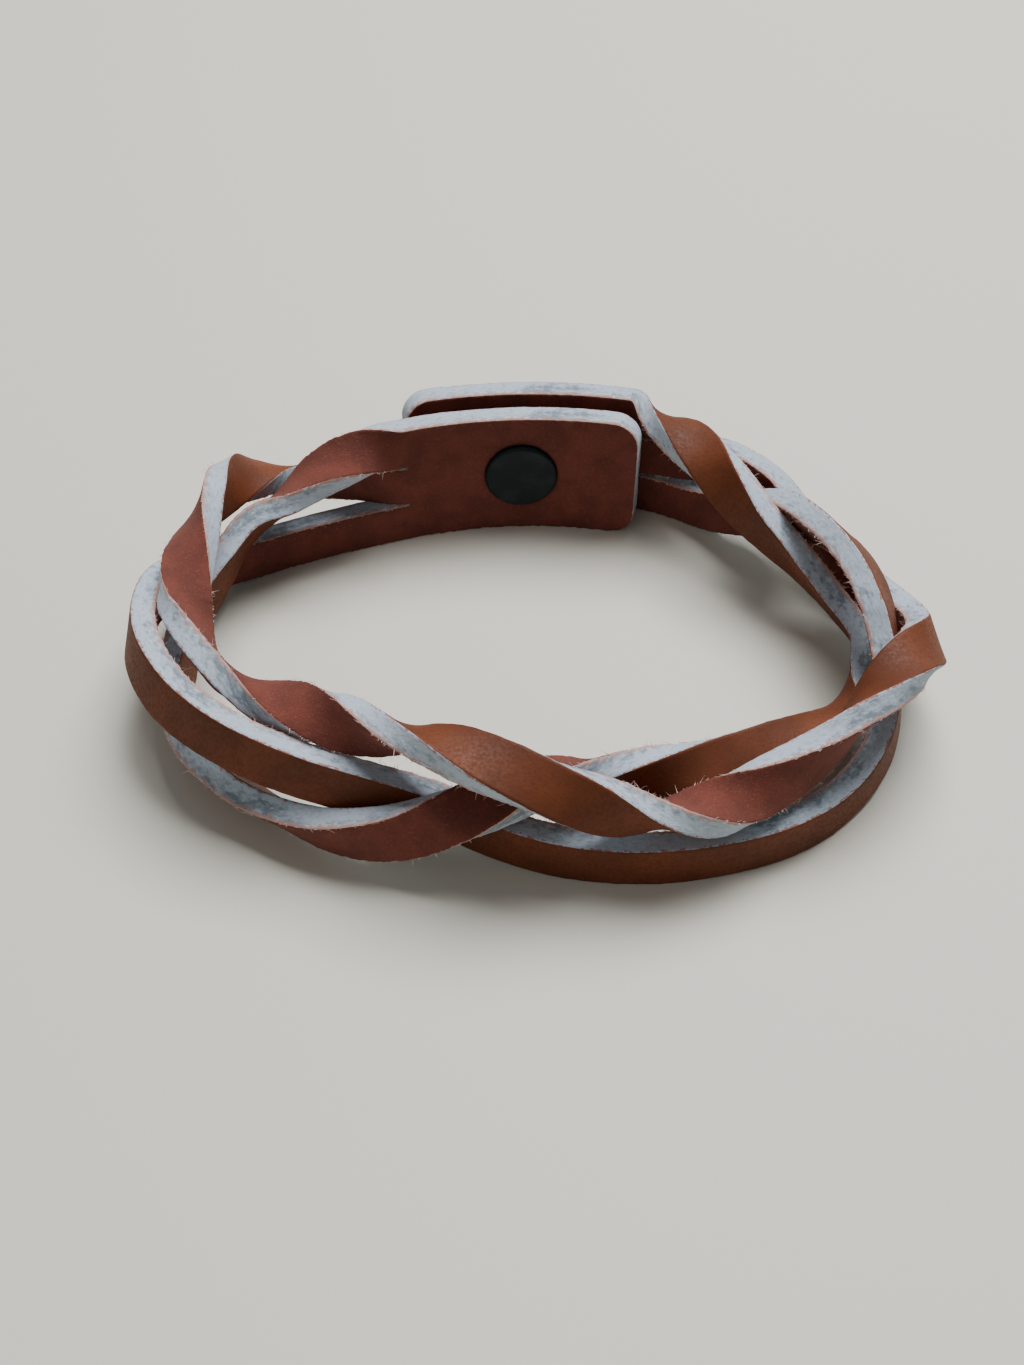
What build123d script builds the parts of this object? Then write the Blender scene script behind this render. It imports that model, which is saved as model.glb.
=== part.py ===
from build123d import *
from math import cos, hypot, radians, sin
import os

# Braided leather bracelet with a snap closure. Millimetres, +Z up.
# The origin is on the floor, under the middle of the closed ring.
# One flat strap is slit twice: an inner tab, three strands and an outer tab.
# The strands are plaited round the ring and the tabs lie one over the other at
# the back, where the snap holds them.

# ---------------------------------------------------------------- strap sizes
LEATHER = 2.2          # thickness of the strap
STRAP_WIDTH = 13.4     # width of the tabs, and height of the closed ring there
SLIT = 0.2             # width of each cut between two strands
STRAND_WIDTH = (STRAP_WIDTH - 2 * SLIT) / 3
LEVEL_STEP = STRAND_WIDTH + SLIT   # height from one strand's centre to the next

# ------------------------------------------------- guide oval of the closed ring
HALF_LENGTH = 32.6     # along X
HALF_DEPTH_BACK = 25.0     # along +Y, at the snap
HALF_DEPTH_FRONT = 19.0    # along -Y
GUIDE_X = 0.1          # the guide's centre, which puts the origin mid-ring
SNAP_BULGE = 0.8       # how much further the snap reaches out than the strands
GUIDE_Y = -(HALF_DEPTH_BACK - HALF_DEPTH_FRONT) / 2 - SNAP_BULGE

# ----------------------------------------------------------------------- tabs
INNER_TAB_OFFSET = -0.3 * LEATHER   # middle of the inner tab, out from the guide
TAB_GAP = 2.0          # the height of the closed snap between the tabs
OUTER_TAB_OFFSET = INNER_TAB_OFFSET + LEATHER + TAB_GAP
INNER_ROOT_ANGLE = 113.0   # where the slits start on the inner tab
INNER_END_ANGLE = 71.0
OUTER_ROOT_ANGLE = 74.0    # where the slits start on the outer tab
OUTER_END_ANGLE = 111.0
TAB_CORNER = 2.6       # radius of the free corners
ROOT_GAP = 0.25        # from a tab's root to the strands' ends
TAB_STEPS = 12         # spans of the curve that each tab follows

# ----------------------------------------------------------------------- snap
SNAP_ANGLE = 92.0
CLEARANCE = 0.04       # between a snap piece and the leather it sits in
POST_RADIUS = 1.2
BACK_DISC_RADIUS = 3.6
BACK_DISC_THICKNESS = 0.7
BACK_DISC_SEAT = 0.25      # how deep the back disc is pressed into the leather
CAP_RADIUS = 3.9
CAP_HEIGHT = 0.9
CAP_SEAT = 0.3
FLANGE_RADIUS = 3.2
FLANGE_THICKNESS = 0.45
STUD_NECK_RADIUS = 1.35
STUD_BULB_RADIUS = 1.65
SOCKET_RADIUS = 3.5
SOCKET_SEAT = 0.25
SOCKET_MOUTH_RADIUS = 2.35
SOCKET_CAVITY_RADIUS = 2.95
SOCKET_PLATE = 0.3     # thickness of the socket's back plate and of its lip
SOCKET_CHAMFER = 0.3
STUD_CHAMFER = 0.3     # from the stud's neck out to its bulb
STUD_TIP_CHAMFER = 0.45
STUD_NECK_HEIGHT = 0.15
BULB_GAP = 0.25        # from the stud's tip to the outer tab
BACK_DISC_ROUND = 0.35
SPRING_WIRE = 0.4      # wire diameter of the ring spring
SPRING_PLAY = 0.1      # round the spring in its groove
SPRING_OPENING = 30    # degrees of the ring spring that are left open
RIM_GAP = 0.12         # from the stud's flange to the socket's rim

# Each strand is a list of stations along the ring, counter-clockwise from above:
# (angle on the guide, offset outwards in leather thicknesses, level, roll).
# Level 0 is the bottom strand's place in the flat strap, 1 the middle, 2 the top.
# Roll 0 has the grain side out and the strap's top edge up; more roll turns the
# top edge outwards and then down.
TOP_STRAND = [
    (113, -0.3, 2, 0), (121, -0.35, 2.0, 45), (129, -0.3, 1.8, 85),
    (137, -0.05, 1.35, 125), (145, 0.2, 1.15, 150), (154, -0.05, 0.8, 167),
    (165, -0.05, 0.4, 178), (178, -0.15, 0.15, 187), (195, -0.05, 0.08, 200),
    (213, 0.4, 0.08, 215), (230, 0.8, 0.1, 212), (242, 1.05, 0.25, 190),
    (251, 1.05, 0.6, 165), (259, 0.5, 0.95, 130), (266, -0.3, 1.15, 98),
    (273, -0.95, 1.28, 60), (280, -1.1, 1.22, 30), (286, -0.95, 1.13, -8),
    (292, -0.95, 1.04, -34), (298, -1.05, 0.98, -50), (309, -1.1, 0.89, -66),
    (320, -1.05, 0.7, -92), (331, -1.4, 0.48, -130), (342, -1.6, 0.25, -165),
    (354, -1.35, 0.2, -192), (367, -0.95, 0.3, -206), (380, -1.3, 0.52, -210),
    (392, -1.65, 0.94, -203), (404, -1.75, 1.42, -182), (412, -1.25, 1.75, -155),
    (419, -0.3, 1.93, -120), (425, 0.6, 1.98, -82), (430, 1.25, 1.98, -40),
    (434, None, 2, 0),
]
MIDDLE_STRAND = [
    (113, -0.3, 1, 0), (121, 0.75, 0.95, -12), (128, 1.6, 0.97, -30),
    (135, 1.95, 1.35, -75), (142, 1.5, 1.85, -135), (150, 0.7, 2.1, -188),
    (160, -0.05, 2.05, -232), (172, -0.75, 2, -275), (186, -1.15, 1.9, -318),
    (200, -1.2, 1.8, -340), (212, -1.2, 1.75, -335), (223, -1.35, 1.75, -295),
    (233, -1.35, 1.85, -245), (244, -1.15, 1.95, -180), (256, -0.65, 2.1, -110),
    (266, 0.15, 2, -68), (275, 0.75, 1.65, -35), (284, 1.0, 1.2, 20),
    (292, 1.05, 1.05, 75), (299, 0.85, 1.05, 125), (306, 0.65, 1.2, 160),
    (314, 0.5, 1.4, 182), (323, 0.35, 1.7, 210), (332, 0.25, 1.9, 248),
    (341, 0.3, 1.9, 285), (350, 0.55, 1.6, 315), (359, 0.75, 1.15, 338),
    (370, 0.65, 0.65, 352), (384, 0.25, 0.45, 360), (398, 0.7, 0.5, 360),
    (409, 1.6, 0.9, 360), (417, 1.9, 1.05, 360), (426, 1.75, 1, 360),
    (434, None, 1, 360),
]
BOTTOM_STRAND = [
    (113, -0.3, 0, 0), (121, -0.2, 0, 0), (130, 0.1, 0, 0), (143, 0.8, 0.05, 0),
    (152, 1.25, 0.25, 0), (160, 1.4, 0.6, -2), (169, 1.15, 1.1, -8),
    (180, 0.85, 1.45, -14), (195, 0.75, 1.65, -20), (210, 0.75, 1.6, -20),
    (224, 0.65, 1.5, -15), (236, 0.25, 1.2, -10), (246, -0.25, 0.85, -4),
    (256, -0.55, 0.4, 0), (266, 0, 0.1, 0), (273, 0.5, 0.02, 0),
    (280, 0.9, 0, 0), (295, 1.35, 0, 0), (308, 1.4, 0, 0), (320, 1.05, 0.05, 0),
    (331, 0.55, 0.35, -6), (340, -0.1, 0.75, -12), (349, -0.8, 1.25, -20),
    (360, -1.25, 1.75, -32), (375, -1.35, 1.95, -42), (389, -1.15, 1.85, -38),
    (400, -0.55, 1.4, -22), (408, -0.05, 0.8, -8), (416, 0.65, 0.25, 0),
    (421, 1.1, 0.05, 0), (427, 1.45, 0, 0), (434, None, 0, 0),
]


# ---------------------------------------------------------------- guide oval
def half_depth(angle):
    """Half depth of the guide on this side of the ring."""
    return HALF_DEPTH_BACK if sin(radians(angle)) > 0 else HALF_DEPTH_FRONT


def guide_normal(angle):
    """Unit direction out of the ring, level with the floor."""
    x = cos(radians(angle)) / HALF_LENGTH
    y = sin(radians(angle)) / half_depth(angle)
    return Vector(x, y, 0) / hypot(x, y)


def guide_tangent(angle):
    """Unit direction along the ring, counter-clockwise from above."""
    n = guide_normal(angle)
    return Vector(-n.Y, n.X, 0)


def place(angle, outward, height):
    """A point at this angle, this far out from the guide and this high."""
    x = GUIDE_X + HALF_LENGTH * cos(radians(angle))
    y = GUIDE_Y + half_depth(angle) * sin(radians(angle))
    return Vector(x, y, height) + guide_normal(angle) * outward


# ------------------------------------------------------------------- strands
def known_offsets(stations):
    """Stations in mm outwards, with the last one behind the outer tab."""
    last = stations[-1]
    rows = [(a, out * LEATHER, level, roll) for a, out, level, roll in stations[:-1]]
    return rows + [(last[0], OUTER_TAB_OFFSET, last[2], last[3])]


def middle_station(rows, i):
    """The station halfway from row i to the next, on a smooth curve."""
    before = rows[max(i - 1, 0)]
    after = rows[min(i + 2, len(rows) - 1)]
    pairs = zip(before, rows[i], rows[i + 1], after)
    smooth = [(9 * (b + c) - a - d) / 16 for a, b, c, d in pairs]
    smooth[0] = (rows[i][0] + rows[i + 1][0]) / 2
    return tuple(smooth)


def with_middles(rows):
    """The stations with one more between each pair."""
    result = [rows[0]]
    for i in range(len(rows) - 1):
        result += [middle_station(rows, i), rows[i + 1]]
    return result


def section_plane(centre, tangent, roll):
    """Section plane with X across the strand and Y through its thickness."""
    outward = tangent.cross(Vector(0, 0, 1)).normalized()
    up = outward.cross(tangent)
    top_edge = up * cos(radians(roll)) + outward * sin(radians(roll))
    return Plane(origin=centre, x_dir=top_edge, z_dir=tangent)


def strand(stations):
    """A strand through its stations, with its ends square to the tabs."""
    rows = with_middles(known_offsets(stations))
    bottom = STRAND_WIDTH / 2
    centres = [place(a, out, bottom + level * LEVEL_STEP) for a, out, level, _ in rows]
    sections = []
    last = len(rows) - 1
    for i, (angle, _, _, roll) in enumerate(rows):
        if i in (0, last):
            tangent = guide_tangent(angle)
        else:
            tangent = (centres[i + 1] - centres[i - 1]).normalized()
        plane = section_plane(centres[i], tangent, roll)
        sections.append(plane * Rectangle(STRAND_WIDTH, LEATHER))
    return loft(sections, ruled=True)


# ---------------------------------------------------------------------- tabs
def tab_plate(start_angle, end_angle, offset):
    """A curved plate as wide as the strap, standing on the floor."""
    sweep_angle = end_angle - start_angle
    angles = [start_angle + sweep_angle * i / TAB_STEPS for i in range(TAB_STEPS + 1)]
    inner = [place(a, offset - LEATHER / 2, 0) for a in angles]
    outer = [place(a, offset + LEATHER / 2, 0) for a in angles]
    outline = Wire([
        Spline(inner),
        Line(inner[-1], outer[-1]),
        Spline(outer[::-1]),
        Line(outer[0], inner[0]),
    ])
    return extrude(Face(outline), STRAP_WIDTH, dir=(0, 0, 1))


def free_corners(tab, end_angle, offset):
    """The tab with its two free corners rounded."""
    end = place(end_angle, offset, STRAP_WIDTH / 2)
    edges = tab.edges().filter_by(lambda e: abs(e.length - LEATHER) < 0.01)
    edges = [e for e in edges if (e.center() - end).length < STRAP_WIDTH * 0.6]
    edges = [e for e in edges if abs(e.center().Z - STRAP_WIDTH / 2) > 1]
    return fillet(edges, TAB_CORNER)


def root_angle(root, towards):
    """The angle a small gap away from the strands' ends."""
    step = 1 if towards > root else -1
    reach = (place(root + step, 0, 0) - place(root, 0, 0)).length
    return root + step * ROOT_GAP / reach


def snap_plane(outward):
    """Plane across the snap, facing out of the ring, this far from the guide."""
    centre = place(SNAP_ANGLE, outward, STRAP_WIDTH / 2)
    return Plane(origin=centre, x_dir=guide_tangent(SNAP_ANGLE), z_dir=guide_normal(SNAP_ANGLE))


def disc(outward, radius, height):
    """A round plate from this offset outwards, on the snap's axis."""
    return snap_plane(outward) * extrude(Circle(radius), height)


INNER_FACE = INNER_TAB_OFFSET - LEATHER / 2       # inner tab, wrist side
MATING_FACE = INNER_TAB_OFFSET + LEATHER / 2      # inner tab, stud side
SOCKET_FACE = OUTER_TAB_OFFSET - LEATHER / 2      # outer tab, socket side
CAP_FACE = OUTER_TAB_OFFSET + LEATHER / 2         # outer tab, cap side
BACK_DISC_TOP = INNER_FACE + BACK_DISC_SEAT
CAP_BOTTOM = CAP_FACE - CAP_SEAT
SOCKET_BACK = SOCKET_FACE + SOCKET_SEAT
STUD_BASE = MATING_FACE + CLEARANCE
RIM_LEVEL = STUD_BASE + FLANGE_THICKNESS + RIM_GAP


def make_inner_tab():
    """Inner tab with the post's hole and the back disc's seat."""
    root = root_angle(INNER_ROOT_ANGLE, INNER_END_ANGLE)
    tab = tab_plate(root, INNER_END_ANGLE, INNER_TAB_OFFSET)
    tab = free_corners(tab, INNER_END_ANGLE, INNER_TAB_OFFSET)
    tab -= disc(INNER_FACE - 2, POST_RADIUS + CLEARANCE, LEATHER + 4)
    tab -= disc(INNER_FACE - 2, BACK_DISC_RADIUS + CLEARANCE, BACK_DISC_SEAT + 2 + CLEARANCE)
    return tab


def make_outer_tab():
    """Outer tab with the post's hole and the seats of the cap and the socket."""
    root = root_angle(OUTER_ROOT_ANGLE, OUTER_END_ANGLE)
    tab = tab_plate(root, OUTER_END_ANGLE, OUTER_TAB_OFFSET)
    tab = free_corners(tab, OUTER_END_ANGLE, OUTER_TAB_OFFSET)
    tab -= disc(SOCKET_FACE - 2, POST_RADIUS + CLEARANCE, LEATHER + 4)
    tab -= disc(CAP_BOTTOM - CLEARANCE, CAP_RADIUS + CLEARANCE, 2)
    tab -= disc(SOCKET_FACE - 2, SOCKET_RADIUS + CLEARANCE, SOCKET_SEAT + 2 + CLEARANCE)
    return tab


# ---------------------------------------------------------------------- snap
def make_back_disc():
    """Flat disc on the wrist side, with the post that holds the stud."""
    plate = disc(BACK_DISC_TOP - BACK_DISC_THICKNESS, BACK_DISC_RADIUS, BACK_DISC_THICKNESS)
    rim = plate.edges().filter_by(GeomType.CIRCLE).sort_by_distance(snap_plane(-20).origin)[0]
    plate = fillet(rim, BACK_DISC_ROUND)
    return plate + disc(BACK_DISC_TOP, POST_RADIUS, STUD_BASE - BACK_DISC_TOP - CLEARANCE)


def turned(profile, outward):
    """A piece turned about the snap's axis from a profile of (radius, height)."""
    outline = Polyline(*[(r, 0, h) for r, h in profile], close=True)
    return snap_plane(outward) * revolve(Face(Wire(outline.edges())), Axis.Z)


def make_stud():
    """Flange, neck and bulb of the stud."""
    f, n, b = FLANGE_RADIUS, STUD_NECK_RADIUS, STUD_BULB_RADIUS
    t = FLANGE_THICKNESS
    neck_top = t + STUD_NECK_HEIGHT
    tip = TAB_GAP - 2 * CLEARANCE - BULB_GAP
    c = STUD_TIP_CHAMFER
    return turned([(0, 0), (f, 0), (f, t), (n, t), (n, neck_top), (b, neck_top + STUD_CHAMFER),
                   (b, tip - c), (b - c, tip), (0, tip)], STUD_BASE)


def make_socket():
    """Socket cup: a plate against the leather, a wall and a lip at the mouth."""
    depth = SOCKET_BACK - RIM_LEVEL
    hole = POST_RADIUS + CLEARANCE
    mouth = SOCKET_MOUTH_RADIUS
    cavity = SOCKET_CAVITY_RADIUS
    wall = SOCKET_RADIUS
    c = SOCKET_CHAMFER
    floor = depth - SOCKET_PLATE
    return turned([(mouth, 0), (wall - c, 0), (wall, c), (wall, depth), (hole, depth),
                   (hole, floor), (cavity, floor), (cavity, SOCKET_PLATE),
                   (mouth, SOCKET_PLATE)], RIM_LEVEL)


def make_spring():
    """Open ring of spring wire in the socket's groove."""
    radius = SOCKET_CAVITY_RADIUS - SPRING_WIRE / 2 - SPRING_PLAY
    plane = snap_plane(RIM_LEVEL + SOCKET_PLATE + SPRING_WIRE / 2 + SPRING_PLAY / 2)
    wire = CenterArc((0, 0, 0), radius, SPRING_OPENING / 2, 360 - SPRING_OPENING)
    section = Plane(origin=wire @ 0, z_dir=wire % 0) * Circle(SPRING_WIRE / 2)
    return plane * sweep(section, path=wire)


def make_cap():
    """Domed cap outside, with the post that holds the socket."""
    r, h = CAP_RADIUS, CAP_HEIGHT
    dome = turned([(0, 0), (r - 0.15, 0), (r, 0.15), (r, h * 0.45), (r - 0.35, h * 0.75),
                   (r - 1.2, h * 0.95), (0, h)], CAP_BOTTOM)
    post_end = SOCKET_BACK - SOCKET_PLATE
    return dome + disc(post_end, POST_RADIUS, CAP_BOTTOM - post_end)


PARTS = {
    "strand_top": lambda: strand(TOP_STRAND),
    "strand_middle": lambda: strand(MIDDLE_STRAND),
    "strand_bottom": lambda: strand(BOTTOM_STRAND),
    "inner_tab": make_inner_tab,
    "outer_tab": make_outer_tab,
    "back_disc": make_back_disc,
    "stud": make_stud,
    "socket": make_socket,
    "socket_spring": make_spring,
    "cap": make_cap,
}


def main():
    """Build every piece and write it as a STEP file."""
    os.makedirs("parts", exist_ok=True)
    for name, make in PARTS.items():
        export_step(make(), f"parts/{name}.step")


main()
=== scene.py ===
import logging
import math
import random
from dataclasses import dataclass
from enum import Enum
from typing import Iterable

import bpy
import numpy as np
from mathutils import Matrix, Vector


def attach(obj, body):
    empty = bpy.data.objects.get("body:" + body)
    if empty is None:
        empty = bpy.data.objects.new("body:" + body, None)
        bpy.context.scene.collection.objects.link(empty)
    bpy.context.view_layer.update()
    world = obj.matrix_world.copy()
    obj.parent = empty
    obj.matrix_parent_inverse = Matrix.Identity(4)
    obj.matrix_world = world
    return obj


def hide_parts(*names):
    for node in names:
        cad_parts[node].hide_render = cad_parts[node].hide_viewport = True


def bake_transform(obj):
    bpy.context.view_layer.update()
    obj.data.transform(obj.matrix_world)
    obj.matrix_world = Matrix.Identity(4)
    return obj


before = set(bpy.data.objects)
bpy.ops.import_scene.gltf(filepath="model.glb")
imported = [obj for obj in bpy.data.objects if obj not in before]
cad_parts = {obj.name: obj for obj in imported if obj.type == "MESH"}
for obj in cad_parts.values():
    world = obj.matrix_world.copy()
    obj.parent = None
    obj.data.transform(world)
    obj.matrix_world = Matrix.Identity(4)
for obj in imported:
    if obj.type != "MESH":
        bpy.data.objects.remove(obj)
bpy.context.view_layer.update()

# Braided leather bracelet, closed by a snap and standing on its lower edge.
# Sizes in the classes are in millimetres, and MM turns them to metres.
MM = 0.001
LOG = logging.getLogger("bracelet")

Station = tuple[float, float, float, float]


# ------------------------------------------------------------------ the strap
@dataclass(frozen=True)
class Strap:
    """The flat strap before it is slit: one hide, cut to width."""

    leather: float = 2.2
    width: float = 13.4
    slit: float = 0.2
    corner: float = 0.2

    @property
    def strand_width(self) -> float:
        """Width of one of the three strands."""
        return (self.width - 2 * self.slit) / 3

    @property
    def level_step(self) -> float:
        """Height from one strand's middle to the next in the flat strap."""
        return self.strand_width + self.slit


@dataclass(frozen=True)
class Guide:
    """The oval that the strap goes round, seen from above."""

    half_length: float = 32.6
    depth_back: float = 25.0
    depth_front: float = 19.0
    x: float = 0.1
    y: float = -3.8

    def half_depth(self, angle: np.ndarray) -> np.ndarray:
        """Half depth of the oval on this side of the ring."""
        return np.where(np.sin(np.radians(angle)) > 0, self.depth_back, self.depth_front)

    def normal(self, angle: np.ndarray) -> np.ndarray:
        """Level unit directions out of the ring."""
        x = np.cos(np.radians(angle)) / self.half_length
        y = np.sin(np.radians(angle)) / self.half_depth(angle)
        size = np.hypot(x, y)
        return np.stack([x / size, y / size, np.zeros_like(x)], axis=-1)

    def tangent(self, angle: np.ndarray) -> np.ndarray:
        """Level unit directions along the ring, counter-clockwise from above."""
        out = self.normal(angle)
        return np.stack([-out[..., 1], out[..., 0], out[..., 2]], axis=-1)

    def place(self, angle: np.ndarray, outward: np.ndarray, height: np.ndarray) -> np.ndarray:
        """Points at these angles, this far out from the oval and this high.

        Args:
            angle: Degrees on the oval, counter-clockwise from +X.
            outward: Distances out from the oval.
            height: Distances above the floor.

        Returns:
            One row of x, y and z per point, in millimetres.
        """
        angle, outward, height = np.broadcast_arrays(
            np.asarray(angle, float), np.asarray(outward, float), np.asarray(height, float))
        x = self.x + self.half_length * np.cos(np.radians(angle))
        y = self.y + self.half_depth(angle) * np.sin(np.radians(angle))
        base = np.stack([x, y, height], axis=-1)
        return base + self.normal(angle) * outward[..., None]


STRAP = Strap()
GUIDE = Guide()
INNER_OFFSET = -0.3 * STRAP.leather
SNAP_HEIGHT = 2.0
OUTER_OFFSET = INNER_OFFSET + STRAP.leather + SNAP_HEIGHT


# ------------------------------------------------------------------ materials
def linear(hex_colour: str) -> tuple[float, float, float, float]:
    """A colour for a shader socket.

    Args:
        hex_colour: sRGB colour as six hex digits.

    Returns:
        The same colour in linear light, with alpha 1.
    """
    channels = [int(hex_colour[i:i + 2], 16) / 255 for i in (0, 2, 4)]
    light = [c / 12.92 if c <= 0.04045 else ((c + 0.055) / 1.055) ** 2.4 for c in channels]
    return (light[0], light[1], light[2], 1.0)


def add_node(tree: bpy.types.NodeTree, kind: str, **settings: object) -> bpy.types.Node:
    """Add a shader node with its settings and links.

    Args:
        tree: The material's node tree.
        kind: The node's type, without the ShaderNode in front.
        **settings: Input names, with _ for a space, or the node's own property
            names. An output socket as the value makes a link.

    Returns:
        The new node.
    """
    node = tree.nodes.new("ShaderNode" + kind)
    later = {}
    for key, value in settings.items():
        if key[0].islower() and hasattr(node, key):
            setattr(node, key, value)
        else:
            later[key] = value
    for key, value in later.items():
        index = int(key[2:]) if key.startswith("in") and key[2:].isdigit() else None
        socket = node.inputs[index] if index is not None else node.inputs[key.replace("_", " ")]
        if isinstance(value, bpy.types.NodeSocket):
            tree.links.new(value, socket)
        else:
            socket.default_value = value
    return node


def per_mm(size: float) -> float:
    """Texture scale on Object coordinates for a pattern of this size in mm."""
    return 1 / (size * MM)


def mixed(tree: bpy.types.NodeTree, factor: object, first: object,
          second: object) -> bpy.types.NodeSocket:
    """Colour between first and second by factor.

    Args:
        tree: The material's node tree.
        factor: Output socket or number from 0 to 1.
        first: Colour or output socket at factor 0.
        second: Colour or output socket at factor 1.

    Returns:
        The mixed colour's socket.
    """
    node = add_node(tree, "Mix", data_type="RGBA", in0=factor, in6=first, in7=second)
    return node.outputs[2]


def ranged(tree: bpy.types.NodeTree, value: object, low: float, high: float,
           to_low: float = 0.0, to_high: float = 1.0) -> bpy.types.NodeSocket:
    """Value mapped smoothly from low..high to to_low..to_high."""
    node = add_node(tree, "MapRange", interpolation_type="SMOOTHSTEP", in0=value, in1=low, in2=high,
                    in3=to_low, in4=to_high)
    return node.outputs[0]


def material(name: str) -> tuple[bpy.types.Material, bpy.types.NodeTree, bpy.types.Node]:
    """A new material with its tree and its principled shader."""
    made = bpy.data.materials.new(name)
    made.use_nodes = True
    tree = made.node_tree
    shader = next(n for n in tree.nodes if n.type == "BSDF_PRINCIPLED")
    return made, tree, shader


@dataclass(frozen=True)
class GrainLeather:
    """Vegetable-tanned cowhide, drum-dyed and waxed: the smooth grain side."""

    light: str = "6C371D"
    dark: str = "542913"
    roughness: float = 0.64
    blotch: float = 5.0
    pore: float = 0.28
    crease: float = 0.9

    def build(self) -> bpy.types.Material:
        """Return the grain side: satin, with pores, creases and uneven dye."""
        made, tree, shader = material("cowhide_grain_waxed")
        # Real pores are about 0.1 mm and are drawn coarser, so that they show.
        at = add_node(tree, "TexCoord").outputs["Object"]
        blotches = add_node(tree, "TexNoise", Vector=at, Scale=per_mm(self.blotch), Detail=4.0)
        pores = add_node(tree, "TexNoise", Vector=at, Scale=per_mm(self.pore), Detail=3.0)
        creases = add_node(tree, "TexVoronoi", Vector=at, Scale=per_mm(self.crease),
                           feature="DISTANCE_TO_EDGE")
        dye = mixed(tree, ranged(tree, blotches.outputs[0], 0.25, 0.75),
                    linear(self.dark), linear(self.light))
        speckle = ranged(tree, pores.outputs[0], 0.38, 0.5, 0.35, 0.0)
        dye = mixed(tree, speckle, dye, linear(self.dark))
        tree.links.new(dye, shader.inputs["Base Color"])
        rough = ranged(tree, pores.outputs[0], 0.3, 0.7,
                       self.roughness + 0.12, self.roughness - 0.08)
        tree.links.new(rough, shader.inputs["Roughness"])
        crease_height = ranged(tree, creases.outputs[0], 0.0, 0.12)
        fine = add_node(tree, "Bump", Height=pores.outputs[0], Strength=0.35, Distance=0.05 * MM)
        bump = add_node(tree, "Bump", Height=crease_height, Strength=0.12, Distance=0.03 * MM,
                        Normal=fine.outputs[0])
        tree.links.new(bump.outputs[0], shader.inputs["Normal"])
        shader.inputs["Specular IOR Level"].default_value = 0.25
        return made


@dataclass(frozen=True)
class FleshLeather:
    """The same hide's flesh side: split, brushed and dyed, with a short nap."""

    light: str = "6A3124"
    dark: str = "5A281D"
    nap: float = 0.22
    patch: float = 2.6

    def build(self) -> bpy.types.Material:
        """Return the flesh side: matt and reddish, with a nap that catches light."""
        made, tree, shader = material("cowhide_flesh_brushed")
        # Real nap fibres are about 0.03 mm thick. They are drawn as tufts, so that they show.
        at = add_node(tree, "TexCoord").outputs["Object"]
        patches = add_node(tree, "TexNoise", Vector=at, Scale=per_mm(self.patch), Detail=5.0)
        nap = add_node(tree, "TexNoise", Vector=at, Scale=per_mm(self.nap), Detail=4.0,
                       Roughness=0.7)
        dye = mixed(tree, ranged(tree, patches.outputs[0], 0.35, 0.65),
                    linear(self.dark), linear(self.light))
        tips = ranged(tree, nap.outputs[0], 0.52, 0.72, 0.0, 0.4)
        dye = mixed(tree, tips, dye, linear("8E5446"))
        tree.links.new(dye, shader.inputs["Base Color"])
        bump = add_node(tree, "Bump", Height=nap.outputs[0], Strength=0.7, Distance=0.12 * MM)
        tree.links.new(bump.outputs[0], shader.inputs["Normal"])
        shader.inputs["Roughness"].default_value = 0.92
        shader.inputs["Sheen Weight"].default_value = 0.1
        shader.inputs["Sheen Roughness"].default_value = 0.5
        shader.inputs["Sheen Tint"].default_value = linear("D9A08C")
        return made


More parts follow.
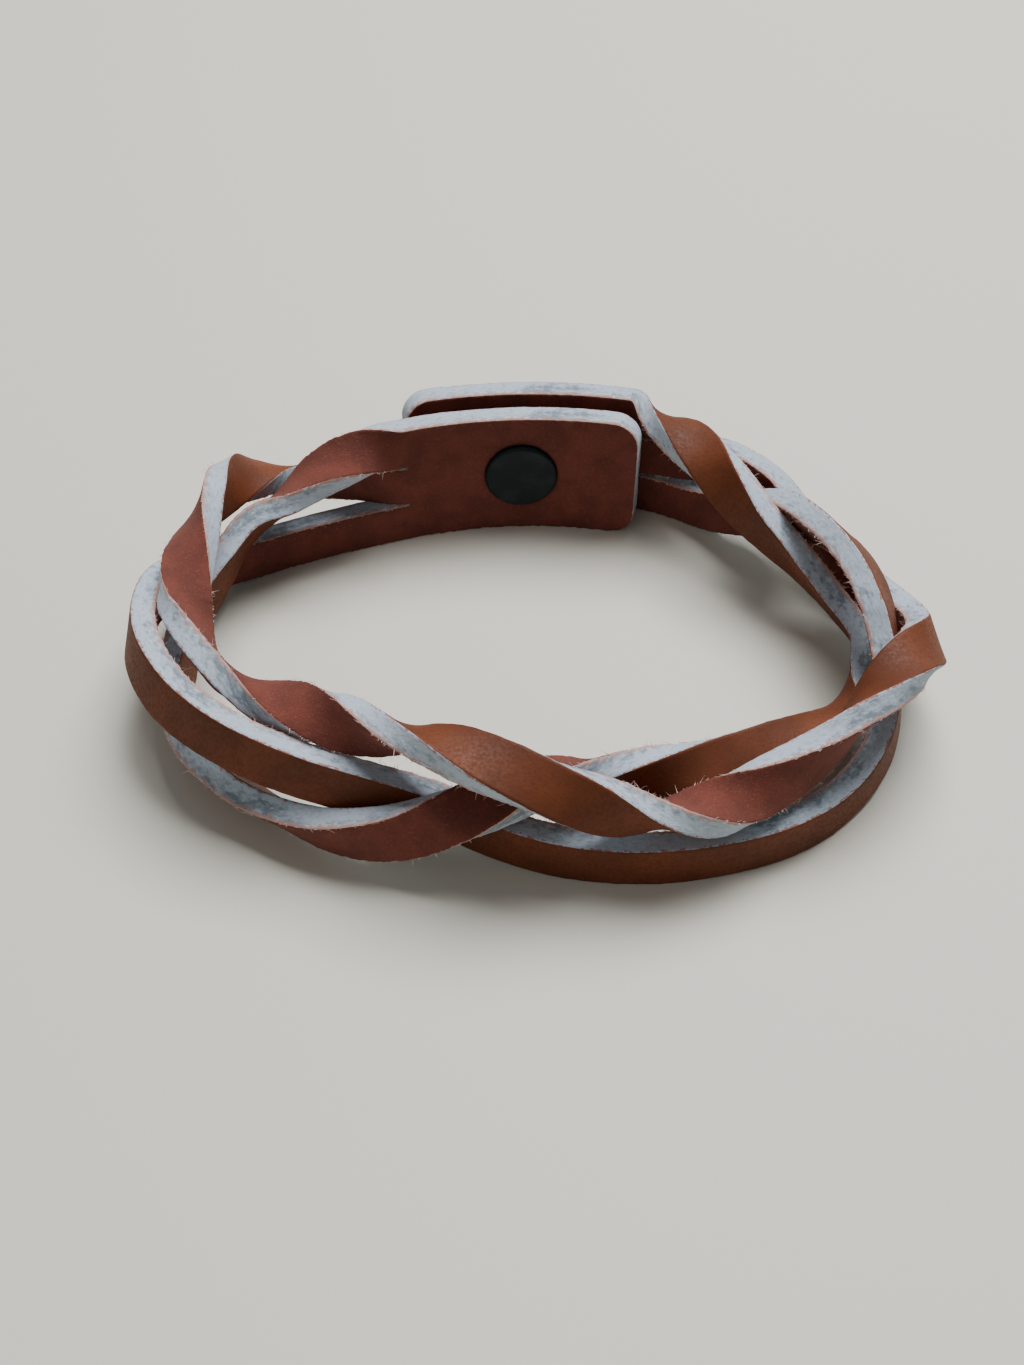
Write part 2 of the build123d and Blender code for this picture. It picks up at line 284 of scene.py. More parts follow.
@dataclass(frozen=True)
class CutEdge:
    """The hide's cut edge: pale undyed fibre between two dyed skins."""

    pale: str = "A9B5C1"
    shade: str = "6F7C86"
    fray: str = "AE8A80"
    skin: str = "8A4C2E"
    fibre: float = 0.3
    clump: float = 0.65

    def build(self) -> bpy.types.Material:
        """Return the cut edge: bluish grey fibre, ragged and tan at the flesh side."""
        made, tree, shader = material("cowhide_cut_edge_raw")
        uv = add_node(tree, "UVMap", uv_map="Edge").outputs[0]
        depth = add_node(tree, "SeparateXYZ", Vector=uv).outputs[1]
        along = add_node(tree, "Mapping", Vector=uv, Scale=(0.55, 1.0, 1.0)).outputs[0]
        clumps = add_node(tree, "TexNoise", Vector=along, Scale=1 / self.clump, Detail=5.0,
                          Roughness=0.65)
        fibres = add_node(tree, "TexNoise", Vector=along, Scale=1 / self.fibre, Detail=4.0,
                          Roughness=0.7)
        drift = add_node(tree, "TexNoise", Vector=uv, Scale=1 / 9.0, Detail=2.0)
        # The loose fibre nearer the flesh side is darker, and more so in places.
        loose = ranged(tree, depth, 0.2, 1.9, -0.07, 0.1)
        dark = add_node(tree, "Math", operation="ADD", in0=clumps.outputs[0], in1=loose).outputs[0]
        patchy = ranged(tree, drift.outputs[0], 0.4, 0.65, -0.09, 0.12)
        dark = add_node(tree, "Math", operation="ADD", in0=dark, in1=patchy).outputs[0]
        base = mixed(tree, ranged(tree, dark, 0.46, 0.74), linear(self.pale), linear(self.shade))
        flecks = ranged(tree, fibres.outputs[0], 0.5, 0.68, 0.0, 0.5)
        base = mixed(tree, flecks, base, linear(self.shade))
        tips = ranged(tree, fibres.outputs[0], 0.44, 0.3, 0.0, 0.55)
        base = mixed(tree, tips, base, linear("D3DBE2"))
        wobble = ranged(tree, fibres.outputs[0], 0.3, 0.7, -0.34, 0.34)
        ragged = add_node(tree, "Math", operation="ADD", in0=depth, in1=wobble).outputs[0]
        base = mixed(tree, ranged(tree, ragged, 1.76, 1.96), base, linear(self.fray))
        base = mixed(tree, ranged(tree, ragged, 0.14, 0.04, 0.0, 0.8), base, linear(self.skin))
        tree.links.new(base, shader.inputs["Base Color"])
        fuzz = add_node(tree, "Bump", Height=fibres.outputs[0], Strength=0.6, Distance=0.1 * MM)
        bump = add_node(tree, "Bump", Height=clumps.outputs[0], Strength=0.4, Distance=0.12 * MM,
                        Normal=fuzz.outputs[0])
        tree.links.new(bump.outputs[0], shader.inputs["Normal"])
        shader.inputs["Roughness"].default_value = 0.95
        shader.inputs["Sheen Weight"].default_value = 0.15
        return made


@dataclass(frozen=True)
class FrayFibre:
    """Loose collagen fibres teased out of the flesh side's rim."""

    colour: str = "C4A094"

    def build(self) -> bpy.types.Material:
        """Return the fibre: matt pinkish tan, paler in places."""
        made, tree, shader = material("collagen_fibre_loose")
        at = add_node(tree, "TexCoord").outputs["Object"]
        tint = add_node(tree, "TexNoise", Vector=at, Scale=per_mm(1.5), Detail=2.0)
        colour = mixed(tree, ranged(tree, tint.outputs[0], 0.35, 0.65), linear(self.colour),
                       linear("E6D6CC"))
        tree.links.new(colour, shader.inputs["Base Color"])
        shader.inputs["Roughness"].default_value = 0.9
        return made


@dataclass(frozen=True)
class SnapEnamel:
    """Baked dark enamel on a pressed brass snap: it hides the metal's own colour."""

    base: str = "060D0E"
    worn: str = "0C1516"

    def build(self) -> bpy.types.Material:
        """Return the enamel: greenish black and satin, with faint rub marks."""
        made, tree, shader = material("enamel_on_brass_baked")
        # Orange peel of the baked coat, and patches that rubbing has left a little paler.
        at = add_node(tree, "TexCoord").outputs["Object"]
        peel = add_node(tree, "TexNoise", Vector=at, Scale=per_mm(0.35), Detail=3.0)
        rub = add_node(tree, "TexNoise", Vector=at, Scale=per_mm(2.2), Detail=4.0)
        colour = mixed(tree, ranged(tree, rub.outputs[0], 0.45, 0.7), linear(self.base),
                       linear(self.worn))
        tree.links.new(colour, shader.inputs["Base Color"])
        rough = ranged(tree, rub.outputs[0], 0.35, 0.7, 0.6, 0.48)
        tree.links.new(rough, shader.inputs["Roughness"])
        shader.inputs["Specular IOR Level"].default_value = 0.3
        shader.inputs["Specular Tint"].default_value = linear("D8EAEA")
        bump = add_node(tree, "Bump", Height=peel.outputs[0], Strength=0.15, Distance=0.02 * MM)
        tree.links.new(bump.outputs[0], shader.inputs["Normal"])
        return made


@dataclass(frozen=True)
class SpringSteel:
    """Drawn and nickel-plated spring wire."""

    colour: str = "B9B7B0"

    def build(self) -> bpy.types.Material:
        """Return the wire: bright metal with fine drawing marks."""
        made, tree, shader = material("spring_wire_drawn_nickel")
        # Marks of the drawing die break up the highlight along the wire.
        at = add_node(tree, "TexCoord").outputs["Object"]
        marks = add_node(tree, "TexNoise", Vector=at, Scale=per_mm(0.12), Detail=2.0)
        rough = ranged(tree, marks.outputs[0], 0.3, 0.7, 0.22, 0.38)
        tree.links.new(rough, shader.inputs["Roughness"])
        shader.inputs["Base Color"].default_value = linear(self.colour)
        shader.inputs["Metallic"].default_value = 1.0
        return made


class Side(Enum):
    """The sides of a strip of hide, in the order of its material slots."""

    GRAIN = 0
    FLESH = 1
    EDGE = 2


# Numbers of the strips of hide, in millimetres.
TINY = 1e-3            # two places nearer than this are the same place
RIM_BAND = 0.5         # how far in from a cut side the cut's waver reaches
CALM_LENGTH = 1.2      # over which the roughness dies out towards a blunt end
FAINTEST = 0.01        # weights below this are left out

# The hide's roughness: vertex group, size of the bumps and their height.
BUMPS = (
    ("nap", 0.45, 0.07),
    ("ragged", 0.4, 0.34),
    ("cut", 1.1, 0.1),
    ("cut", 6.0, 0.16),
)


# ------------------------------------------------------------- modelling tools
def deselect() -> None:
    """Leave nothing selected and nothing active."""
    for thing in bpy.context.selected_objects:
        thing.select_set(False)
    bpy.context.view_layer.objects.active = None


def only(piece: bpy.types.Object) -> None:
    """Select this piece alone and make it active."""
    deselect()
    piece.select_set(True)
    bpy.context.view_layer.objects.active = piece


def read(mesh: bpy.types.Mesh) -> np.ndarray:
    """The mesh's vertices as rows of x, y and z."""
    flat = np.empty(len(mesh.vertices) * 3, np.float64)
    mesh.vertices.foreach_get("co", flat)
    return flat.reshape(-1, 3)


def write(mesh: bpy.types.Mesh, points: np.ndarray) -> None:
    """Put the mesh's vertices at these points."""
    mesh.vertices.foreach_set("co", points.astype(np.float32).ravel())
    mesh.update()


def apply_all(piece: bpy.types.Object) -> None:
    """Apply every modifier of the piece, in order."""
    only(piece)
    for modifier in list(piece.modifiers):
        bpy.ops.object.modifier_apply(modifier=modifier.name)


@dataclass
class Strip:
    """A straight strip of hide, x along it, y across it and z out of its grain."""

    name: str
    length: float
    width: float
    cells: tuple[int, int, int]
    free_start: bool = False
    free_end: bool = False

    def make(self) -> bpy.types.Object:
        """Model the strip flat on the bench.

        Returns:
            The strip with its rims rounded and its sides given to slots.
        """
        thick = STRAP.leather
        along, across, through = self.cells
        deselect()
        bpy.ops.mesh.primitive_grid_add(x_subdivisions=along, y_subdivisions=across, size=1)
        piece = bpy.context.active_object
        piece.name = self.name
        piece.data.name = self.name
        bpy.ops.object.mode_set(mode="EDIT")
        bpy.ops.transform.resize(value=(self.length * MM, self.width * MM, 1))
        bpy.ops.transform.translate(value=(self.length * MM / 2, 0, -thick * MM / 2))
        for _ in range(through):
            bpy.ops.mesh.extrude_region_move(
                TRANSFORM_OT_translate={"value": (0, 0, thick * MM / through)})
        bpy.ops.mesh.select_all(action="SELECT")
        bpy.ops.mesh.normals_make_consistent(inside=False)
        bpy.ops.mesh.select_all(action="DESELECT")
        bpy.ops.object.mode_set(mode="OBJECT")
        self.select_rims(piece.data)
        bpy.ops.object.mode_set(mode="EDIT")
        bpy.ops.mesh.select_mode(type="EDGE")
        bpy.ops.mesh.bevel(offset=STRAP.corner * MM, offset_type="OFFSET", segments=2)
        bpy.ops.object.mode_set(mode="OBJECT")
        self.give_sides(piece.data)
        self.measure(piece.data)
        self.roughen(piece)
        return piece

    def on_rim(self, points: np.ndarray) -> np.ndarray:
        """Which points lie on a long side or on a free end."""
        long_side = np.abs(np.abs(points[:, 1]) - self.width / 2) < TINY
        return long_side | self.at_free_end(points[:, 0])

    def select_rims(self, mesh: bpy.types.Mesh) -> None:
        """Select the edges between the skins and the cut sides."""
        points = read(mesh) / MM
        skin = np.abs(np.abs(points[:, 2]) - STRAP.leather / 2) < TINY
        rim = self.on_rim(points) & skin
        ends = np.empty(len(mesh.edges) * 2, np.int32)
        mesh.edges.foreach_get("vertices", ends)
        ends = ends.reshape(-1, 2)
        chosen = rim[ends].all(axis=1)
        gap = np.abs(points[ends[:, 0]] - points[ends[:, 1]])
        # An edge that crosses a blunt end of the strip is not part of a rim.
        crossing = (gap[:, 1] > TINY) & ~self.at_free_end(points[ends[:, 0], 0])
        chosen &= ~crossing & (gap[:, 2] < TINY)
        mesh.edges.foreach_set("select", chosen)

    def at_free_end(self, x: np.ndarray) -> np.ndarray:
        """Which places along the strip are a free end."""
        free = np.zeros(x.shape, bool)
        if self.free_start:
            free |= np.abs(x) < TINY
        if self.free_end:
            free |= np.abs(x - self.length) < TINY
        return free

    def give_sides(self, mesh: bpy.types.Mesh) -> None:
        """Give each face the slot of its side."""
        normals = np.array([p.normal[:] for p in mesh.polygons])
        slots = np.full(len(normals), Side.EDGE.value)
        slots[normals[:, 2] > 0.5] = Side.GRAIN.value
        slots[normals[:, 2] < -0.8] = Side.FLESH.value
        mesh.polygons.foreach_set("material_index", slots.astype(np.int32))

    def measure(self, mesh: bpy.types.Mesh) -> None:
        """Write each point's place along the edge and its depth below the grain."""
        layer = mesh.uv_layers.new(name="Edge")
        corners = np.empty(len(mesh.loops), np.int32)
        mesh.loops.foreach_get("vertex_index", corners)
        points = read(mesh)[corners] / MM
        place = np.stack([points[:, 0] + points[:, 1], STRAP.leather / 2 - points[:, 2]], axis=-1)
        layer.data.foreach_set("uv", place.astype(np.float32).ravel())

    def roughen(self, piece: bpy.types.Object) -> None:
        """Give the cut its waver, the flesh its nap and the rim its ragged line."""
        points = read(piece.data) / MM
        side = np.clip((np.abs(points[:, 1]) - self.width / 2 + RIM_BAND) / RIM_BAND, 0, 1)
        if self.free_end or self.free_start:
            reach = points[:, 0] if self.free_start else self.length - points[:, 0]
            side = np.maximum(side, np.clip(1 - reach / RIM_BAND, 0, 1))
        flesh = np.clip(-points[:, 2] / (STRAP.leather / 2), 0, 1)
        # Nothing moves at a blunt end, where the strip goes on as another piece.
        blunt = np.ones(len(points))
        for free, reach in ((self.free_start, points[:, 0]),
                            (self.free_end, self.length - points[:, 0])):
            if not free:
                blunt *= np.clip(reach / CALM_LENGTH, 0, 1)
        groups = {
            "nap": (flesh ** 6) * blunt,
            "ragged": (flesh ** 3) * (side ** 2) * blunt,
            "cut": side * blunt,
        }
        for name, weights in groups.items():
            group = piece.vertex_groups.new(name=name)
            for i in np.nonzero(weights > FAINTEST)[0]:
                group.add([int(i)], float(weights[i]), "REPLACE")
        for name, size, depth in BUMPS:
            cloud = bpy.data.textures.new(f"{self.name}_{name}", "CLOUDS")
            cloud.noise_scale = size * MM
            cloud.noise_depth = 2
            push = piece.modifiers.new(name, "DISPLACE")
            push.texture = cloud
            push.texture_coords = "LOCAL"
            push.strength = depth * MM
            push.mid_level = 0.5
            push.vertex_group = name
        apply_all(piece)
        piece.vertex_groups.clear()


def smooth_through(known: np.ndarray, values: np.ndarray, at: np.ndarray) -> np.ndarray:
    """A smooth curve through given values, level at both ends.

    Args:
        known: Where the values are set, rising.
        values: The values there.
        at: Where to read the curve.

    Returns:
        The curve's value at each place asked for.
    """
    gap = np.diff(known)
    rise = np.diff(values) / gap
    slope = np.zeros(len(values))
    slope[1:-1] = (rise[:-1] * gap[1:] + rise[1:] * gap[:-1]) / (gap[:-1] + gap[1:])
    k = np.clip(np.searchsorted(known, at, side="right") - 1, 0, len(gap) - 1)
    t = (at - known[k]) / gap[k]
    t2, t3 = t * t, t * t * t
    return ((2 * t3 - 3 * t2 + 1) * values[k] + (t3 - 2 * t2 + t) * gap[k] * slope[k]
            + (3 * t2 - 2 * t3) * values[k + 1] + (t3 - t2) * gap[k] * slope[k + 1])


# -------------------------------------------------------------------- strands
@dataclass
class Strand:
    """One plaited strand, from the inner tab's root round to the outer tab's.

    Each station is an angle on the guide, an offset outwards in leather
    thicknesses, a level (0 bottom, 1 middle, 2 top) and a roll in degrees. Roll 0
    has the grain out and the top edge up, and more roll turns the top edge out.
    The last station lies behind the outer tab.
    """

    name: str
    node: str
    stations: tuple[Station, ...]
    ring_step: float = 0.26
    across: int = 12
    through: int = 6

    def route(self, samples: int = 3000) -> tuple[np.ndarray, np.ndarray, np.ndarray, np.ndarray]:
        """Work out the strand's line and how it is rolled.

        Args:
            samples: How finely the line is followed.

        Returns:
            Lengths along the line, its points, the direction of its top edge and
            the direction of its grain side.
        """
        table = np.array(self.stations, float)
        table[:, 1] *= STRAP.leather
        table[-1, 1] = OUTER_OFFSET
        angle = np.linspace(table[0, 0], table[-1, 0], samples)
        outward, level, roll = (smooth_through(table[:, 0], table[:, i], angle) for i in (1, 2, 3))
        height = STRAP.strand_width / 2 + level * STRAP.level_step
        line = GUIDE.place(angle, outward, height)
        run = np.gradient(line, axis=0)
        run /= np.linalg.norm(run, axis=1)[:, None]
        run[0], run[-1] = GUIDE.tangent(angle[0]), GUIDE.tangent(angle[-1])
        out = np.cross(run, (0, 0, 1))
        out /= np.linalg.norm(out, axis=1)[:, None]
        up = np.cross(out, run)
        turn = np.radians(roll)[:, None]
        top = up * np.cos(turn) + out * np.sin(turn)
        grain = out * np.cos(turn) - up * np.sin(turn)
        steps = np.linalg.norm(np.diff(line, axis=0), axis=1)
        return np.concatenate([[0], np.cumsum(steps)]), line, top, grain

    def build(self) -> bpy.types.Object:
        """Cut the strand as a straight strip and lay it along its route.

        Returns:
            The finished strand.
        """
        lengths, line, top, grain = self.route()
        total = float(lengths[-1])
        cells = (round(total / self.ring_step), self.across, self.through)
        piece = Strip(self.name, total, STRAP.strand_width, cells).make()
        flat = read(piece.data) / MM
        laid = follow(lengths, line, flat[:, 0])
        laid += follow(lengths, top, flat[:, 0]) * flat[:, 1:2]
        laid += follow(lengths, grain, flat[:, 0]) * flat[:, 2:3]
        write(piece.data, on_floor(laid) * MM)
        LOG.info("%s: %.1f mm long", self.name, total)
        return piece


def on_floor(points: np.ndarray) -> np.ndarray:
    """The points, with none below the floor that the bracelet stands on."""
    points[:, 2] = np.maximum(points[:, 2], 0.0)
    return points


def follow(lengths: np.ndarray, rows: np.ndarray, at: np.ndarray) -> np.ndarray:
    """Rows of x, y and z read at these lengths along a route."""
    return np.stack([np.interp(at, lengths, rows[:, i]) for i in range(3)], axis=-1)


STRANDS = (
    Strand("top_strand", "strand_top", (
        (113, -0.3, 2, 0), (121, -0.35, 2.0, 45), (129, -0.3, 1.8, 85), (137, -0.05, 1.35, 125),
        (145, 0.2, 1.15, 150), (154, -0.05, 0.8, 167), (165, -0.05, 0.4, 178),
        (178, -0.15, 0.15, 187), (195, -0.05, 0.08, 200), (213, 0.4, 0.08, 215),
        (230, 0.8, 0.1, 212), (242, 1.05, 0.25, 190), (251, 1.05, 0.6, 165), (259, 0.5, 0.95, 130),
        (266, -0.3, 1.15, 98), (273, -0.95, 1.28, 60), (280, -1.1, 1.22, 30),
        (286, -0.95, 1.13, -8), (292, -0.95, 1.04, -34), (298, -1.05, 0.98, -50),
        (309, -1.1, 0.89, -66), (320, -1.05, 0.7, -92), (331, -1.4, 0.48, -130),
        (342, -1.6, 0.25, -165), (354, -1.35, 0.2, -192), (367, -0.95, 0.3, -206),
        (380, -1.3, 0.52, -210), (392, -1.65, 0.94, -203), (404, -1.75, 1.42, -182),
        (412, -1.25, 1.75, -155), (419, -0.3, 1.93, -120), (425, 0.6, 1.98, -82),
        (430, 1.25, 1.98, -40), (434, 0, 2, 0))),
    Strand("middle_strand", "strand_middle", (
        (113, -0.3, 1, 0), (121, 0.75, 0.95, -12), (128, 1.6, 0.97, -30), (135, 1.95, 1.35, -75),
        (142, 1.5, 1.85, -135), (150, 0.7, 2.1, -188), (160, -0.05, 2.05, -232),
        (172, -0.75, 2, -275), (186, -1.15, 1.9, -318), (200, -1.2, 1.8, -340),
        (212, -1.2, 1.75, -335), (223, -1.35, 1.75, -295), (233, -1.35, 1.85, -245),
        (244, -1.15, 1.95, -180), (256, -0.65, 2.1, -110), (266, 0.15, 2, -68),
        (275, 0.75, 1.65, -35), (284, 1.0, 1.2, 20), (292, 1.05, 1.05, 75), (299, 0.85, 1.05, 125),
        (306, 0.65, 1.2, 160), (314, 0.5, 1.4, 182), (323, 0.35, 1.7, 210), (332, 0.25, 1.9, 248),
        (341, 0.3, 1.9, 285), (350, 0.55, 1.6, 315), (359, 0.75, 1.15, 338),
        (370, 0.65, 0.65, 352), (384, 0.25, 0.45, 360), (398, 0.7, 0.5, 360), (409, 1.6, 0.9, 360),
        (417, 1.9, 1.05, 360), (426, 1.75, 1, 360), (434, 0, 1, 360))),
    Strand("bottom_strand", "strand_bottom", (
        (113, -0.3, 0, 0), (121, -0.2, 0, 0), (130, 0.1, 0, 0), (143, 0.8, 0.05, 0),
        (152, 1.25, 0.25, 0), (160, 1.4, 0.6, -2), (169, 1.15, 1.1, -8), (180, 0.85, 1.45, -14),
        (195, 0.75, 1.65, -20), (210, 0.75, 1.6, -20), (224, 0.65, 1.5, -15),
        (236, 0.25, 1.2, -10), (246, -0.25, 0.85, -4), (256, -0.55, 0.4, 0), (266, 0, 0.1, 0),
        (273, 0.5, 0.02, 0), (280, 0.9, 0, 0), (295, 1.35, 0, 0), (308, 1.4, 0, 0),
        (320, 1.05, 0.05, 0), (331, 0.55, 0.35, -6), (340, -0.1, 0.75, -12),
        (349, -0.8, 1.25, -20), (360, -1.25, 1.75, -32), (375, -1.35, 1.95, -42),
        (389, -1.15, 1.85, -38), (400, -0.55, 1.4, -22), (408, -0.05, 0.8, -8),
        (416, 0.65, 0.25, 0), (421, 1.1, 0.05, 0), (427, 1.45, 0, 0), (434, 0, 0, 0))),
)


# ----------------------------------------------------------------------- tabs
@dataclass
class Tab:
    """An end of the strap that is left whole, with rounded free corners."""

    name: str
    node: str
    body: str
    root_angle: float
    free_angle: float
    offset: float
    corner: float = 2.6
    snap_angle: float = 92.0
    seat_radius: float = 3.6
    seat_depth: float = 0.27
    seat_on_grain: bool = False
    seat_play: float = 0.25
    seat_slope: float = 0.3
    drawn_depth: float = 0.1
    drawn_reach: float = 1.6
    skin_depth: float = 0.15
    step: float = 0.27
    across: int = 44
    through: int = 6

    def build(self) -> bpy.types.Object:
        """Cut the tab flat, round its corners, press its seat and bend it.

        Returns:
            The finished tab.
        """
        first, last = sorted((self.root_angle, self.free_angle))
        angles = np.linspace(first, last, 400)
        line = GUIDE.place(angles, self.offset, 0)
        lengths = np.concatenate([[0], np.cumsum(np.linalg.norm(np.diff(line, axis=0), axis=1))])
        total = float(lengths[-1])
        cells = (round(total / self.step), self.across, self.through)
        starts_free = self.free_angle < self.root_angle
        piece = Strip(self.name, total, STRAP.width, cells, starts_free, not starts_free).make()
        flat = self.round_corners(read(piece.data) / MM, total, starts_free)
        angle = np.interp(flat[:, 0], lengths, angles)
        snap_at = float(np.interp(self.snap_angle, angles, lengths))
        flat = self.press_seat(flat, snap_at)
        laid = GUIDE.place(angle, self.offset + flat[:, 2], STRAP.width / 2 + flat[:, 1])
        write(piece.data, on_floor(laid) * MM)
        LOG.info("%s: %.1f mm long", self.name, total)
        return piece

    def round_corners(self, flat: np.ndarray, total: float, starts_free: bool) -> np.ndarray:
        """Pull the two free corners in to quarter rounds.

        Args:
            flat: Points of the flat tab.
            total: The tab's length.
            starts_free: True if the free end is at x 0.

        Returns:
            The points with rounded corners.
        """
        result = flat.copy()
        reach = self.corner - flat[:, 0] if starts_free else flat[:, 0] - (total - self.corner)
        side = np.abs(flat[:, 1]) - (STRAP.width / 2 - self.corner)
        at_corner = (reach > 0) & (side > 0)
        a, b = reach[at_corner], side[at_corner]
        shrink = np.maximum(a, b) / np.hypot(a, b)
        a, b = a * shrink, b * shrink
        result[at_corner, 0] = self.corner - a if starts_free else total - self.corner + a
        result[at_corner, 1] = np.sign(flat[at_corner, 1]) * (STRAP.width / 2 - self.corner + b)
        return result

    def press_seat(self, flat: np.ndarray, snap_at: float) -> np.ndarray:
        """Press the leather in under the snap's disc and draw it down round it."""
        result = flat.copy()
        far = np.hypot(flat[:, 0] - snap_at, flat[:, 1])
        skin = STRAP.leather / 2 - self.skin_depth
        pressed = flat[:, 2] > skin if self.seat_on_grain else flat[:, 2] < -skin
        edge = self.seat_radius + self.seat_play
        inside = np.clip((edge - far) / self.seat_slope, 0, 1) * self.seat_depth
        fade = np.clip(1 - (far - self.seat_radius) / self.drawn_reach, 0, 1)
        drawn = self.drawn_depth * fade ** 2
        sink = np.maximum(inside, drawn)
        result[pressed, 2] += (-1 if self.seat_on_grain else 1) * sink[pressed]
        return result

    def bend_with(self, piece: bpy.types.Object) -> None:
        """Bake the tab's placement into its mesh; its root's place and direction along the ring are
        worked out and not used.
        """
        root = GUIDE.place(self.root_angle, self.offset, STRAP.width / 2)
        run = GUIDE.tangent(np.float64(self.root_angle))
        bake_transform(piece)


TABS = (
    Tab("inner_tab_leather", "inner_tab", "inner_tab_body", 113, 71, INNER_OFFSET),
    Tab("outer_tab_leather", "outer_tab", "outer_tab_body", 74, 111, OUTER_OFFSET,
        seat_radius=3.9, seat_depth=0.33, seat_on_grain=True),
)


# ---------------------------------------------------------------- loose fibres
@dataclass
class Fray:
    """Short loose fibres along the flesh rims of the strands."""

    spacing: float = 0.2
    shortest: float = 0.18
    longest: float = 0.8
    thickness: float = 0.035
    left_out: float = 0.25
    end_margin: float = 1.5
    root_inset: float = 0.12
    above_floor: float = 0.02

    def fibre(self) -> tuple[np.ndarray, list[tuple[int, ...]]]:
        """Model one fibre, 1 long along z and tapering, and take it off the bench.

        Returns:
            Its points and its faces.
        """
        deselect()
        bpy.ops.mesh.primitive_cone_add(vertices=3, radius1=1.0, radius2=0.25, depth=1.0,
                                        location=(0, 0, 0.5))
        piece = bpy.context.active_object
        bpy.ops.object.transform_apply(location=True)
        bpy.ops.object.mode_set(mode="EDIT")
        for height in (0.35, 0.7):
            bpy.ops.mesh.select_all(action="SELECT")
            bpy.ops.mesh.bisect(plane_co=(0, 0, height), plane_no=(0, 0, 1))
        bpy.ops.object.mode_set(mode="OBJECT")
        points = read(piece.data)
        faces = [tuple(p.vertices) for p in piece.data.polygons]
        bpy.data.objects.remove(piece)
        return points, faces

    def along(self, strand: Strand, draw: random.Random) -> Iterable[tuple[np.ndarray, ...]]:
        """Choose each fibre's root, direction, bend and length on one strand.

        Args:
            strand: The strand that frays.
            draw: The draw for chance values.

        Yields:
            Root point, direction, bend and length, in millimetres.
        """
        lengths, line, top, grain = strand.route()
        at = self.end_margin
        while at < lengths[-1] - self.end_margin:
            for edge in (-1, 1):
                if draw.random() < self.left_out:
                    continue
                here = np.array([at + draw.uniform(-0.2, 0.2)])
                centre = follow(lengths, line, here)[0]
                across = follow(lengths, top, here)[0] * edge
                out = follow(lengths, grain, here)[0]
                run = np.cross(across, out)
                low = -STRAP.leather / 2 + draw.uniform(0.0, 0.22)
                root = centre + across * (STRAP.strand_width / 2 - self.root_inset) + out * low
                aim = across * draw.uniform(0.15, 1) - out * draw.uniform(0.0, 0.8)
                aim = aim + run * draw.uniform(-1.3, 1.3)
                bend = run * draw.uniform(-0.5, 0.5) + out * draw.uniform(-0.4, 0.4)
                size = self.shortest + (self.longest - self.shortest) * draw.random() ** 3
                yield root, aim / np.linalg.norm(aim), bend, np.array(size)
            at += self.spacing

    def build(self, strand: Strand, seed: int) -> bpy.types.Object:
        """Set the fibres of one strand as one piece.

        Args:
            strand: The strand that frays.
            seed: Start of its chance values.

        Returns:
            The piece.
        """
        draw = random.Random(seed)
        points, faces = self.fibre()
        every_point: list[np.ndarray] = []
        every_face: list[tuple[int, ...]] = []
        for root, aim, bend, size in self.along(strand, draw):
            side = np.cross(aim, (0.3, 0.5, 0.8))
            side /= np.linalg.norm(side)
            other = np.cross(aim, side)
            thick = self.thickness * draw.uniform(0.5, 1.1)
            body = (root + np.outer(points[:, 0] * thick, side)
                    + np.outer(points[:, 1] * thick, other)
                    + np.outer(points[:, 2] * size, aim)
                    + np.outer(points[:, 2] ** 2 * size, bend))
            body[:, 2] = np.maximum(body[:, 2], self.above_floor)
            start = len(every_point) * len(points)
            every_point.append(body)
            every_face += [tuple(i + start for i in face) for face in faces]
        mesh = bpy.data.meshes.new(f"{strand.name}_fray")
        mesh.from_pydata((np.concatenate(every_point) * MM).tolist(), [], every_face)
        piece = bpy.data.objects.new(mesh.name, mesh)
        bpy.context.scene.collection.objects.link(piece)
        return piece


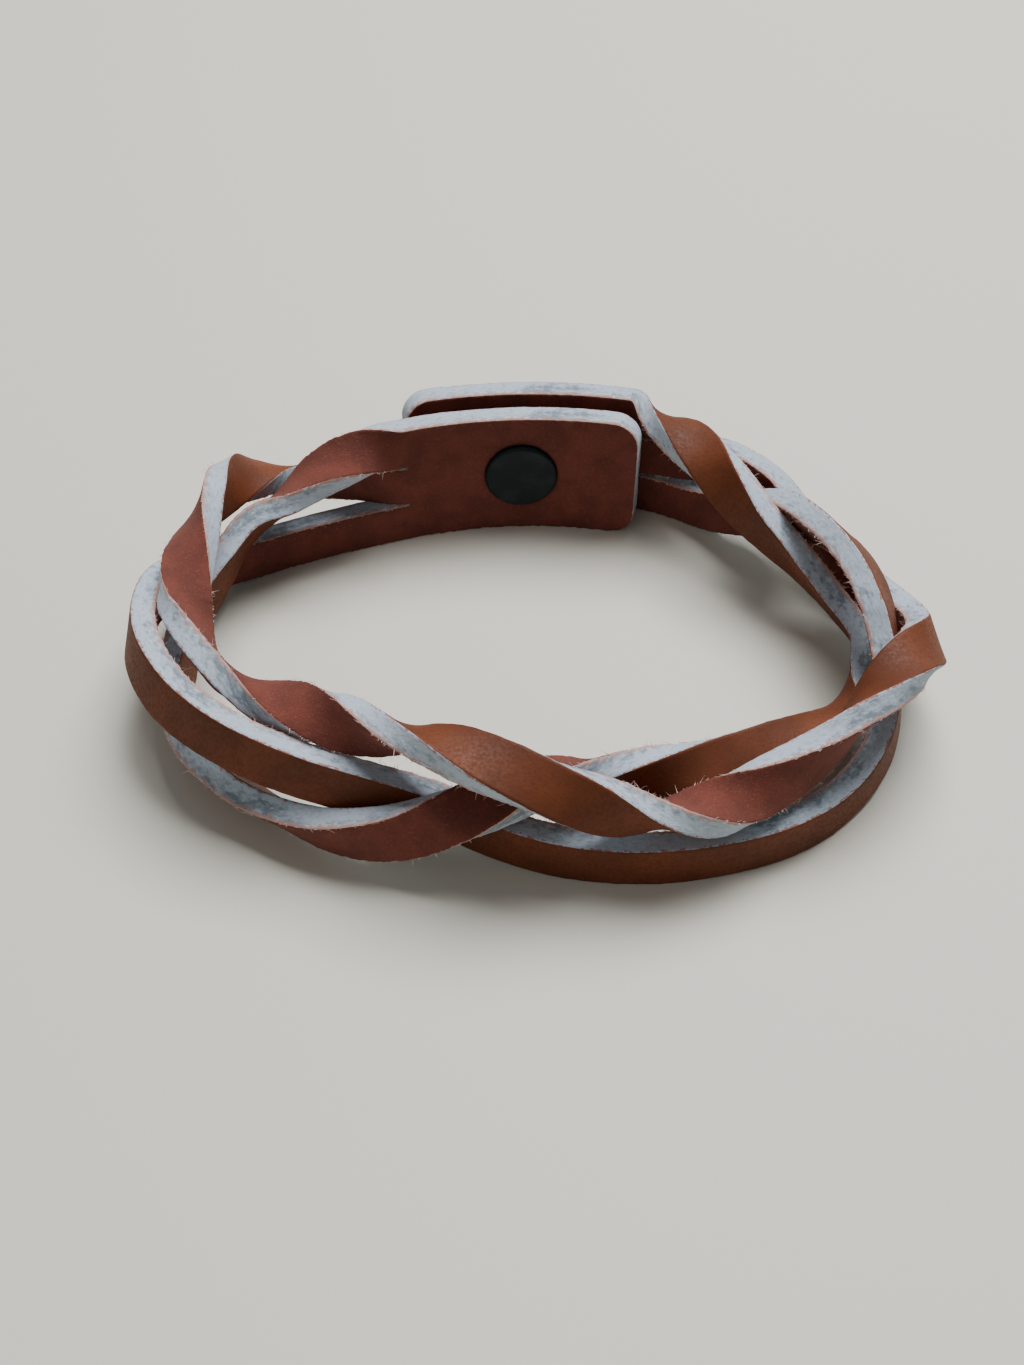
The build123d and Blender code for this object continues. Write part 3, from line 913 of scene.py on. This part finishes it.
# ---------------------------------------------------------------------- studio
@dataclass
class Studio:
    """Floor, light and camera."""

    target: tuple[float, float, float] = (-1.9, -2.7, 0.0)
    eye: tuple[float, float, float] = (-1.9, -98.6, 100.0)
    lens: float = 39.56

    def floor(self) -> None:
        """Lay a plain pale floor."""
        deselect()
        bpy.ops.mesh.primitive_plane_add(size=3.0, location=(0, 0, -0.00002))
        ground = bpy.context.active_object
        ground.name = "floor"
        made, tree, shader = material("stone_tile_pale")
        shader.inputs["Base Color"].default_value = linear("CFCCC0")
        shader.inputs["Roughness"].default_value = 0.6
        ground.data.materials.append(made)

    def lamp(self, name: str, place: tuple[float, float, float], size: float, power: float,
             colour: str) -> None:
        """Hang a soft square light that faces the bracelet.

        Args:
            name: The light's name.
            place: Where it hangs, in millimetres.
            size: Its side, in millimetres.
            power: Its power in watts.
            colour: sRGB colour as six hex digits.
        """
        light = bpy.data.lights.new(name, "AREA")
        light.size = size * MM
        light.energy = power
        light.color = linear(colour)[:3]
        lamp = bpy.data.objects.new(name, light)
        bpy.context.scene.collection.objects.link(lamp)
        lamp.location = Vector(place) * MM
        lamp.rotation_euler = (-lamp.location).to_track_quat("-Z", "Y").to_euler()

    def light(self) -> None:
        """Set the soft light from behind and above, and a weak fill."""
        self.lamp("window", (120, 250, 560), 420, 8.2, "F6F6F8")
        self.lamp("fill", (-260, -420, 380), 500, 0.5, "FFF6EC")
        world = bpy.data.worlds.new("room")
        world.use_nodes = True
        shade = world.node_tree.nodes["Background"]
        shade.inputs[0].default_value = linear("E4E8EC")
        shade.inputs[1].default_value = 0.2
        bpy.context.scene.world = world

    def camera(self) -> None:
        """Set the camera."""
        lens = bpy.data.cameras.new("camera")
        lens.lens = self.lens
        lens.sensor_width = 36.0
        lens.clip_start = 0.005
        eye = bpy.data.objects.new("camera", lens)
        bpy.context.scene.collection.objects.link(eye)
        eye.location = Vector(self.eye) * MM
        look = Vector(self.target) * MM - eye.location
        eye.rotation_euler = look.to_track_quat("-Z", "Y").to_euler()
        bpy.context.scene.camera = eye


# -------------------------------------------------------------------- bracelet
FIRST_SEED = 11        # of the loose fibres' chance values, one seed per strand


class Bracelet:
    """The whole bracelet: leather, loose fibres and snap."""

    def __init__(self) -> None:
        """Make the finishes."""
        self.leather = [GrainLeather().build(), FleshLeather().build(), CutEdge().build()]
        self.fibre = FrayFibre().build()
        self.enamel = SnapEnamel().build()
        self.steel = SpringSteel().build()

    def dress(self, piece: bpy.types.Object) -> None:
        """Give a leather piece its finishes and smooth its shading."""
        for finish in self.leather:
            piece.data.materials.append(finish)
        only(piece)
        bpy.ops.object.shade_smooth_by_angle(angle=math.radians(60))

    def strands(self) -> None:
        """Build the three strands and their loose fibres."""
        for number, strand in enumerate(STRANDS):
            piece = strand.build()
            self.dress(piece)
            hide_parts(strand.node)
            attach(piece, "band")
            fray = Fray().build(strand, FIRST_SEED + number)
            fray.data.materials.append(self.fibre)
            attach(fray, "band")
            LOG.info("%s: %d faces", fray.name, len(fray.data.polygons))

    def tabs(self) -> None:
        """Build the two tabs."""
        for tab in TABS:
            piece = tab.build()
            self.dress(piece)
            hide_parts(tab.node)
            tab.bend_with(piece)

    def snap(self) -> None:
        """Give the snap's metal pieces their finishes."""
        for node in ("back_disc", "stud", "socket", "cap"):
            self.finish_node(node, self.enamel)
        self.finish_node("socket_spring", self.steel)

    def finish_node(self, node: str, finish: bpy.types.Material) -> None:
        """Put a finish on every slot of a CAD node."""
        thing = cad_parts[node]
        if not thing.material_slots:
            thing.data.materials.append(finish)
        for place in thing.material_slots:
            place.material = finish
        LOG.info("%s: %s", node, finish.name)


def main() -> None:
    """Build the studio and the bracelet."""
    logging.basicConfig(level=logging.INFO, format="%(name)s: %(message)s")
    studio = Studio()
    studio.camera()
    studio.floor()
    studio.light()
    bracelet = Bracelet()
    bracelet.strands()
    bracelet.tabs()
    bracelet.snap()
    deselect()


if __name__ == "__main__":
    main()
